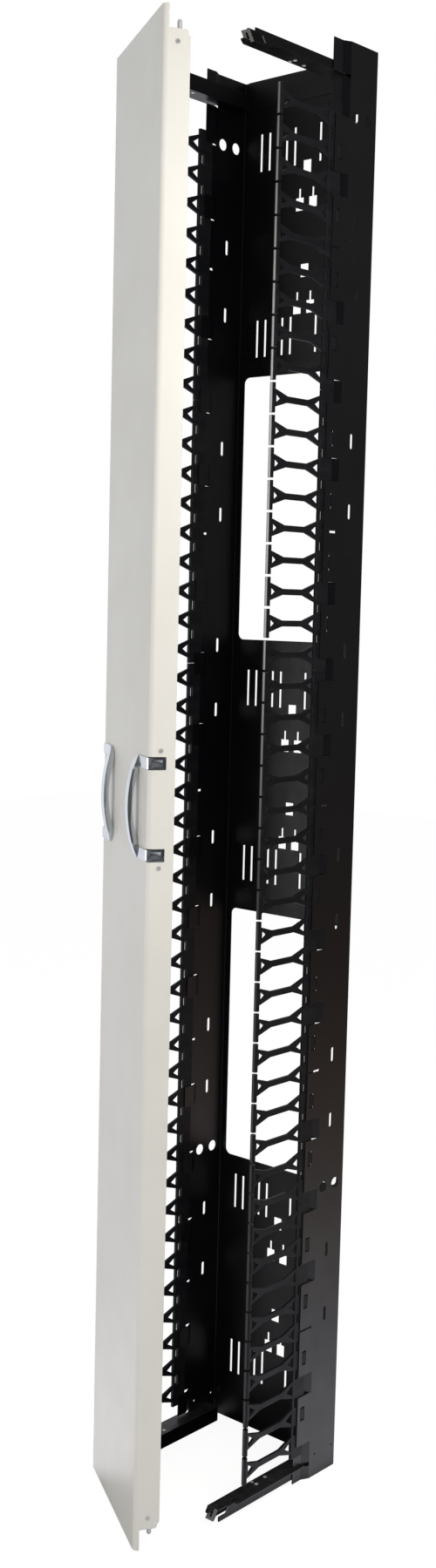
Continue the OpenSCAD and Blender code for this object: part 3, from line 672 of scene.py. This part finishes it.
class CABLEMANAGER_OT_combs(bpy.types.Operator):
    """Black moulded plastic on the ten finger combs, with a painted highlight down the fingers'
    fronts
    """
    bl_idname = "cable_manager.combs"
    bl_label = "Finish the Finger Combs"

    def execute(self, context):
        moulding = context.scene.cable_moulding
        material, tree, shader = moulded_material(
            "comb_plastic_with_highlight", moulding.comb_colour, moulding.comb_bloom, moulding.comb_edge,
            moulding.grain, moulding.edge, 0.50)
        shader.inputs["Specular IOR Level"].default_value = 0.14
        # Painted highlight: a pale strip laid over the fingers' fronts
        overlay(tree, shader, self.painted_tip_highlight(tree), moulding.comb_tip_highlight)
        wear(COMBS, material)
        return {"FINISHED"}

    def painted_tip_highlight(self, tree):
        """Mask of the painted highlight down the fingers' fronts: a narrow strip, strongest from
        0.35 m to 0.55 m up.
        """
        low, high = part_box("comb_right_1")
        middle = (low[0] + high[0]) / 2
        parts = tree.nodes.new("ShaderNodeSeparateXYZ")
        tree.links.new(object_place(tree), parts.inputs["Vector"])
        across = maths(tree, "SUBTRACT", maths(tree, "ABSOLUTE", parts.outputs["X"]), middle)
        strip = between(tree, maths(tree, "ABSOLUTE", across), HIGHLIGHT_HALF[1], HIGHLIGHT_HALF[0])
        front = maths(tree, "MULTIPLY", between(tree, facing(tree)[1], -0.80, -0.97),
                      between(tree, parts.outputs["Y"], low[1] + 0.008, low[1] + 0.004))
        # Painted highlight's height band: full from 0.35 m to 0.55 m, fading below and above
        highlight_band = maths(tree, "MULTIPLY", between(tree, parts.outputs["Z"], -0.10, 0.35, 0.12, 1.0),
                        between(tree, parts.outputs["Z"], 0.55, 0.95, 1.0, 0.3))
        return maths(tree, "MULTIPLY", maths(tree, "MULTIPLY", strip, front), highlight_band)


class CABLEMANAGER_OT_door(bpy.types.Operator):
    """Pale coat on the folded door"""
    bl_idname = "cable_manager.door"
    bl_label = "Coat the Door"

    def execute(self, context):
        door = context.scene.cable_door
        material, _, _ = coat_material(
            "door_coat", door.colour, door.shade, door.rubbed_colour, door.grain, door.edge,
            0.4, 0.40, 0.35)
        wear(["door_panel"], material)
        return {"FINISHED"}


class CABLEMANAGER_OT_latch_blocks(bpy.types.Operator):
    """Grey moulded blocks that guide the rods and carry the handles"""
    bl_idname = "cable_manager.latch_blocks"
    bl_label = "Finish the Latch Blocks"

    def execute(self, context):
        moulding = context.scene.cable_moulding
        material, _, _ = moulded_material(
            "block_plastic", moulding.block_colour, moulding.block_bloom, moulding.block_bloom,
            moulding.grain, moulding.edge, 0.50)
        wear(GUIDES + CARRIERS, material)
        return {"FINISHED"}


class CABLEMANAGER_OT_rods(bpy.types.Operator):
    """Zinc plating on the four latch rods"""
    bl_idname = "cable_manager.rods"
    bl_label = "Plate the Rods"

    def execute(self, context):
        metal = context.scene.cable_metal
        material = plated_material(
            "rod_zinc", metal.rivet_colour, metal.zinc_colour, 0.24, 0.38, 0.3, 0.2)
        wear(RODS, material)
        return {"FINISHED"}


class CABLEMANAGER_OT_handles(bpy.types.Operator):
    """Chrome pull handles with rounded edges"""
    bl_idname = "cable_manager.handles"
    bl_label = "Round the Handles"

    def execute(self, context):
        metal = context.scene.cable_metal
        material = plated_material(
            "handle_chrome", metal.chrome_colour, metal.zinc_colour, 0.16, 0.30, 0.12)
        for side in SIDES:
            piece = merged_copy(f"handle_{side}", f"chrome_handle_{side}")
            soften(piece, metal.handle_edge)
            piece.data.materials.append(material)
            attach(piece, f"handle_{side}_body")
            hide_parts(f"handle_{side}")
        return {"FINISHED"}


class CABLEMANAGER_OT_screws(bpy.types.Operator):
    """Domed screws with a cross recess, which hold the latch blocks and carriers to the door"""
    bl_idname = "cable_manager.screws"
    bl_label = "Drive the Screws"

    def execute(self, context):
        metal = context.scene.cable_metal
        material = plated_material(
            "screw_zinc", metal.zinc_colour, metal.zinc_dull, 0.42, 0.55, 0.2, 0.35)
        screw = self.one_screw(metal)
        pieces = []
        for number, (place, outward) in enumerate(screw_places(), 1):
            pick(screw)
            bpy.ops.object.duplicate(linked=False)
            piece = bpy.context.object
            turn = outward.to_track_quat("Z", "Y").to_matrix().to_4x4()
            piece.matrix_world = Matrix.Translation(place) @ turn
            pieces.append(settle(piece, f"door_screw_{number}"))
        bpy.data.objects.remove(screw)
        for piece in pieces:
            piece.data.materials.append(material)
            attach(piece, "door")
            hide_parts("door_screws")
        return {"FINISHED"}

    def one_screw(self, metal):
        """One screw with its head's seat at the origin and its axis along Z."""
        unpick()
        bpy.ops.mesh.primitive_cylinder_add(
            vertices=32, radius=metal.head_radius, depth=metal.head_height,
            location=(0.0, 0.0, metal.head_height / 2))
        head = settle(bpy.context.object, "screw")
        self.dome_head(head, metal)
        self.cut_recess(head, metal)
        self.add_shank(head, metal)
        pick(head)
        bpy.ops.object.shade_smooth_by_angle(angle=math.radians(32))
        return head

    def dome_head(self, head, metal):
        """Draws the top face in over three rings, so that the head is a low dome."""
        select_faces(head, lambda face: face.normal.z > 0.9)
        bpy.ops.object.mode_set(mode="EDIT")
        for share, drop in DOME_RINGS:
            bpy.ops.mesh.inset(thickness=metal.head_radius * share, depth=metal.head_height * drop)
        bpy.ops.object.mode_set(mode="OBJECT")
        apply_modifier(head, "BEVEL", width=metal.head_height * 0.16, segments=3,
                       limit_method="ANGLE", angle_limit=math.radians(50))

    def cut_recess(self, head, metal):
        """Cuts the cross out of the dome with two tapered blades."""
        for turn in (0.0, math.pi / 2):
            unpick()
            bpy.ops.mesh.primitive_cube_add(
                size=1.0, location=(0.0, 0.0, metal.head_height * 1.1))
            blade = bpy.context.object
            blade.scale = (metal.head_radius * 1.15, metal.recess, metal.head_height * 1.3)
            blade.rotation_euler.z = turn
            settle(blade, "blade")
            select_faces(blade, lambda face: face.normal.z < -0.9)
            bpy.ops.object.mode_set(mode="EDIT")
            bpy.ops.transform.resize(value=(0.45, 0.45, 1.0))
            bpy.ops.object.mode_set(mode="OBJECT")
            apply_modifier(head, "BOOLEAN", object=blade, operation="DIFFERENCE", solver="EXACT")
            bpy.data.objects.remove(blade)

    def add_shank(self, head, metal):
        """Pulls the shank down out of the seat."""
        seat = metal.head_height * 0.05
        select_faces(head, lambda face: face.normal.z < -0.9 and face.center.z < seat)
        bpy.ops.object.mode_set(mode="EDIT")
        bpy.ops.mesh.inset(thickness=metal.head_radius * 0.52, depth=0.0)
        bpy.ops.mesh.extrude_region_move(
            TRANSFORM_OT_translate={"value": (0.0, 0.0, -metal.shank)})
        bpy.ops.mesh.inset(thickness=metal.head_radius * 0.16, depth=metal.head_radius * 0.16)
        bpy.ops.object.mode_set(mode="OBJECT")


class CABLEMANAGER_OT_rivets(bpy.types.Operator):
    """Plated rivets in the three small holes of each arm"""
    bl_idname = "cable_manager.rivets"
    bl_label = "Set the Arm Rivets"

    def execute(self, context):
        metal = context.scene.cable_metal
        material = plated_material(
            "rivet_zinc", metal.rivet_colour, metal.zinc_colour, 0.26, 0.42, 0.2, 0.4)
        rivet = self.one_rivet(metal)
        for end in ENDS:
            for side in SIDES:
                for number, spot in enumerate(rivet_spots(metal, end, side), 1):
                    pick(rivet)
                    bpy.ops.object.duplicate(linked=False)
                    piece = bpy.context.object
                    piece.location = spot
                    settle(piece, f"arm_rivet_{end}_{side}_{number}")
                    piece.data.materials.append(material)
                    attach(piece, "frame")
        bpy.data.objects.remove(rivet)
        return {"FINISHED"}

    def one_rivet(self, metal):
        """A rivet with a flat dome on both sides of the plate, its middle at the origin."""
        unpick()
        bpy.ops.mesh.primitive_cylinder_add(
            vertices=20, radius=metal.rivet_radius, depth=metal.rivet_height)
        rivet = settle(bpy.context.object, "rivet")
        for way in (1.0, -1.0):
            select_faces(rivet, lambda face: face.normal.z * way > 0.9)
            bpy.ops.object.mode_set(mode="EDIT")
            bpy.ops.mesh.inset(thickness=metal.rivet_radius * 0.30, depth=metal.rivet_radius * 0.16)
            bpy.ops.mesh.inset(thickness=metal.rivet_radius * 0.30, depth=metal.rivet_radius * 0.06)
            bpy.ops.object.mode_set(mode="OBJECT")
        pick(rivet)
        bpy.ops.object.shade_smooth_by_angle(angle=math.radians(40))
        return rivet


class CABLEMANAGER_OT_studio(bpy.types.Operator):
    """Pale floor, soft lamps and the camera"""
    bl_idname = "cable_manager.studio"
    bl_label = "Set the Studio"

    def execute(self, context):
        studio = context.scene.cable_studio
        self.lay_floor(studio)
        self.light_room(studio)
        for name, power, place, size in (("key_lamp", studio.key_power, (2.0, -2.45, 0.3), 1.6),
                                         ("side_lamp", studio.side_power, (1.1, -0.5, 0.85), 0.5)):
            lamp = self.hang_lamp(name, power, place, size, studio.key_colour)
            lamp.visible_glossy = False
        self.hang_lamp("fill_lamp", studio.fill_power, (-2.4, -2.6, -0.2), 2.0, WHITE)
        self.place_camera(studio)
        context.scene.view_settings.view_transform = "Standard"
        return {"FINISHED"}

    def lay_floor(self, studio):
        """A floor that takes the part's shadow, and that the camera sees as nearly white."""
        unpick()
        bpy.ops.mesh.primitive_plane_add(
            size=FLOOR_SIZE, location=(0.0, 0.0, CAD_BOX[0][2] - FLOOR_GAP))
        floor = settle(bpy.context.object, "studio_floor")
        material, tree, shader = new_material("studio_floor")
        grain = noise(tree, object_place(tree), 40.0, 4.0)
        tint = [channel * 0.985 for channel in studio.floor_colour[:3]] + [1.0]
        tree.links.new(blend(tree, grain, studio.floor_colour, tint), shader.inputs["Base Color"])
        shader.inputs["Roughness"].default_value = 0.9
        path = tree.nodes.new("ShaderNodeLightPath")
        mirrored = path.outputs["Is Glossy Ray"]
        glow = self.floor_glow(tree, studio, mirrored)
        seen = maths(tree, "MAXIMUM", path.outputs["Is Camera Ray"],
                     path.outputs["Is Transmission Ray"])
        share = maths(tree, "MAXIMUM", maths(tree, "MULTIPLY", seen, studio.floor_share), mirrored)
        mix = tree.nodes.new("ShaderNodeMixShader")
        out = next(node for node in tree.nodes if node.type == "OUTPUT_MATERIAL")
        tree.links.new(share, mix.inputs[0])
        tree.links.new(shader.outputs["BSDF"], mix.inputs[1])
        tree.links.new(glow, mix.inputs[2])
        tree.links.new(mix.outputs["Shader"], out.inputs["Surface"])
        floor.data.materials.append(material)

    def floor_glow(self, tree, studio, mirrored):
        """The floor's own light: plain to the camera, and in reflections a pool round the part."""
        place = object_place(tree)
        parts = tree.nodes.new("ShaderNodeSeparateXYZ")
        tree.links.new(place, parts.inputs["Vector"])
        across, back = parts.outputs["X"], parts.outputs["Y"]
        distance = tree.nodes.new("ShaderNodeVectorMath")
        distance.operation = "LENGTH"
        tree.links.new(place, distance.inputs[0])
        distance = distance.outputs["Value"]
        far = maths(tree, "POWER", maths(tree, "DIVIDE", distance, studio.pool_radius), 2.0)
        pool = maths(tree, "DIVIDE", studio.pool_level, maths(tree, "ADD", far, 1.0))
        outside = maths(tree, "MAXIMUM", between(tree, maths(tree, "ABSOLUTE", across), *POOL_SIDE),
                        between(tree, back, *POOL_BACK))
        aside = maths(tree, "MAXIMUM", maths(tree, "MULTIPLY", back, 0.5),
                      maths(tree, "MULTIPLY", back, -1.0))
        leftward = between(tree, maths(tree, "ADD", across, aside), -0.1, -0.8)
        pool = maths(tree, "MAXIMUM", maths(tree, "MULTIPLY", pool, outside), leftward)
        level = tree.nodes.new("ShaderNodeMix")
        tree.links.new(mirrored, level.inputs[0])
        level.inputs[2].default_value = studio.floor_level
        tree.links.new(pool, level.inputs[3])
        warmth = maths(tree, "MULTIPLY", between(tree, distance, 0.9, 2.2),
                       between(tree, back, 0.2, 0.8))
        warmth = maths(tree, "MULTIPLY", warmth, maths(tree, "SUBTRACT", 1.0, leftward))
        tint = blend(tree, warmth, studio.near_colour, studio.far_colour)
        glow = tree.nodes.new("ShaderNodeEmission")
        tree.links.new(level.outputs[0], glow.inputs["Strength"])
        tree.links.new(blend(tree, mirrored, WHITE, tint), glow.inputs["Color"])
        return glow.outputs["Emission"]

    def light_room(self, studio):
        """Even light from all round, with walls that only the camera and reflections see."""
        world = bpy.data.worlds.new("studio")
        world.use_nodes = True
        tree = world.node_tree
        tree.nodes.clear()
        path = tree.nodes.new("ShaderNodeLightPath")
        room = tree.nodes.new("ShaderNodeBackground")
        room.inputs["Color"].default_value = WHITE
        room.inputs["Strength"].default_value = studio.world_level
        backdrop = tree.nodes.new("ShaderNodeBackground")
        backdrop.inputs["Strength"].default_value = 1.0
        tree.links.new(self.walls(tree, path, studio), backdrop.inputs["Color"])
        seen = maths(tree, "MAXIMUM", path.outputs["Is Camera Ray"], path.outputs["Is Glossy Ray"])
        seen = maths(tree, "MAXIMUM", seen, path.outputs["Is Transmission Ray"])
        mix = tree.nodes.new("ShaderNodeMixShader")
        out = tree.nodes.new("ShaderNodeOutputWorld")
        tree.links.new(seen, mix.inputs[0])
        tree.links.new(room.outputs["Background"], mix.inputs[1])
        tree.links.new(backdrop.outputs["Background"], mix.inputs[2])
        tree.links.new(mix.outputs["Shader"], out.inputs["Surface"])
        bpy.context.scene.world = world

    def walls(self, tree, path, studio):
        """White behind the part; in reflections pale on the left, dark on the right and above."""
        direction = tree.nodes.new("ShaderNodeTexCoord")
        parts = tree.nodes.new("ShaderNodeSeparateXYZ")
        tree.links.new(direction.outputs["Generated"], parts.inputs["Vector"])
        height = between(tree, parts.outputs["Z"], -0.50, -0.20)
        upper = [studio.upper_walls] * 3 + [1.0]
        reflected = blend(tree, height, WHITE, upper)
        behind = maths(tree, "MULTIPLY", maths(tree, "MAXIMUM", parts.outputs["Y"], 0.0), 0.5)
        leftward = between(tree, maths(tree, "SUBTRACT", parts.outputs["X"], behind), -0.70, -0.92)
        reflected = blend(tree, leftward, reflected, studio.left_wall)
        rightward = between(tree, parts.outputs["X"], 0.78, 0.92)
        reflected = blend(tree, rightward, reflected, studio.right_wall)
        return blend(tree, path.outputs["Is Camera Ray"], reflected, WHITE)

    def hang_lamp(self, name, power, place, size, colour):
        """A square soft lamp that points at the part."""
        unpick()
        bpy.ops.object.light_add(type="AREA", location=place)
        lamp = bpy.context.object
        lamp.name = name
        lamp.data.energy = power
        lamp.data.size = size
        lamp.data.color = colour[:3]
        aim = LAMP_AIM - Vector(place)
        lamp.rotation_euler = aim.to_track_quat("-Z", "Y").to_euler()
        return lamp

    def place_camera(self, studio):
        """The camera at its place, with its turn, reach and shift."""
        unpick()
        bpy.ops.object.camera_add()
        camera = bpy.context.object
        camera.name = "studio_camera"
        turn = (Matrix.Rotation(studio.heading, 4, "Z")
                @ Matrix.Rotation(math.pi / 2 + studio.pitch, 4, "X")
                @ Matrix.Rotation(studio.roll, 4, "Z"))
        camera.matrix_world = Matrix.Translation(studio.camera_place) @ turn
        camera.data.sensor_fit = "VERTICAL"
        camera.data.sensor_height = 36.0
        camera.data.lens = 36.0 * studio.reach
        camera.data.shift_x, camera.data.shift_y = studio.shift
        camera.data.clip_start = 0.01
        camera.data.clip_end = 60.0
        bpy.context.scene.camera = camera


OPERATORS = (
    CABLEMANAGER_OT_frame,
    CABLEMANAGER_OT_combs,
    CABLEMANAGER_OT_door,
    CABLEMANAGER_OT_latch_blocks,
    CABLEMANAGER_OT_rods,
    CABLEMANAGER_OT_handles,
    CABLEMANAGER_OT_screws,
    CABLEMANAGER_OT_rivets,
    CABLEMANAGER_OT_studio,
)


class CABLEMANAGER_PT_panel(bpy.types.Panel):
    """Lists the steps that dress the cable manager"""
    bl_label = "Cable Manager"
    bl_space_type = "VIEW_3D"
    bl_region_type = "UI"
    bl_category = "Cable Manager"

    def draw(self, context):
        for step in OPERATORS:
            self.layout.operator(step.bl_idname)
        for attribute in SETTINGS:
            box = self.layout.box()
            group = getattr(context.scene, attribute)
            for name in group.__annotations__:
                box.prop(group, name)


SETTINGS = {
    "cable_coat": CoatSettings,
    "cable_moulding": MouldingSettings,
    "cable_door": DoorSettings,
    "cable_metal": MetalSettings,
    "cable_studio": StudioSettings,
}
CLASSES = (*SETTINGS.values(), *OPERATORS, CABLEMANAGER_PT_panel)


def register():
    for kind in CLASSES:
        bpy.utils.register_class(kind)
    for attribute, group in SETTINGS.items():
        setattr(bpy.types.Scene, attribute, bpy.props.PointerProperty(type=group))


def unregister():
    for attribute in SETTINGS:
        delattr(bpy.types.Scene, attribute)
    for kind in reversed(CLASSES):
        bpy.utils.unregister_class(kind)


def main():
    register()
    for step in OPERATORS:
        group, name = step.bl_idname.split(".")
        if getattr(getattr(bpy.ops, group), name)() != {"FINISHED"}:
            raise RuntimeError(f"{step.bl_label} didn't finish")


if __name__ == "__main__":
    main()
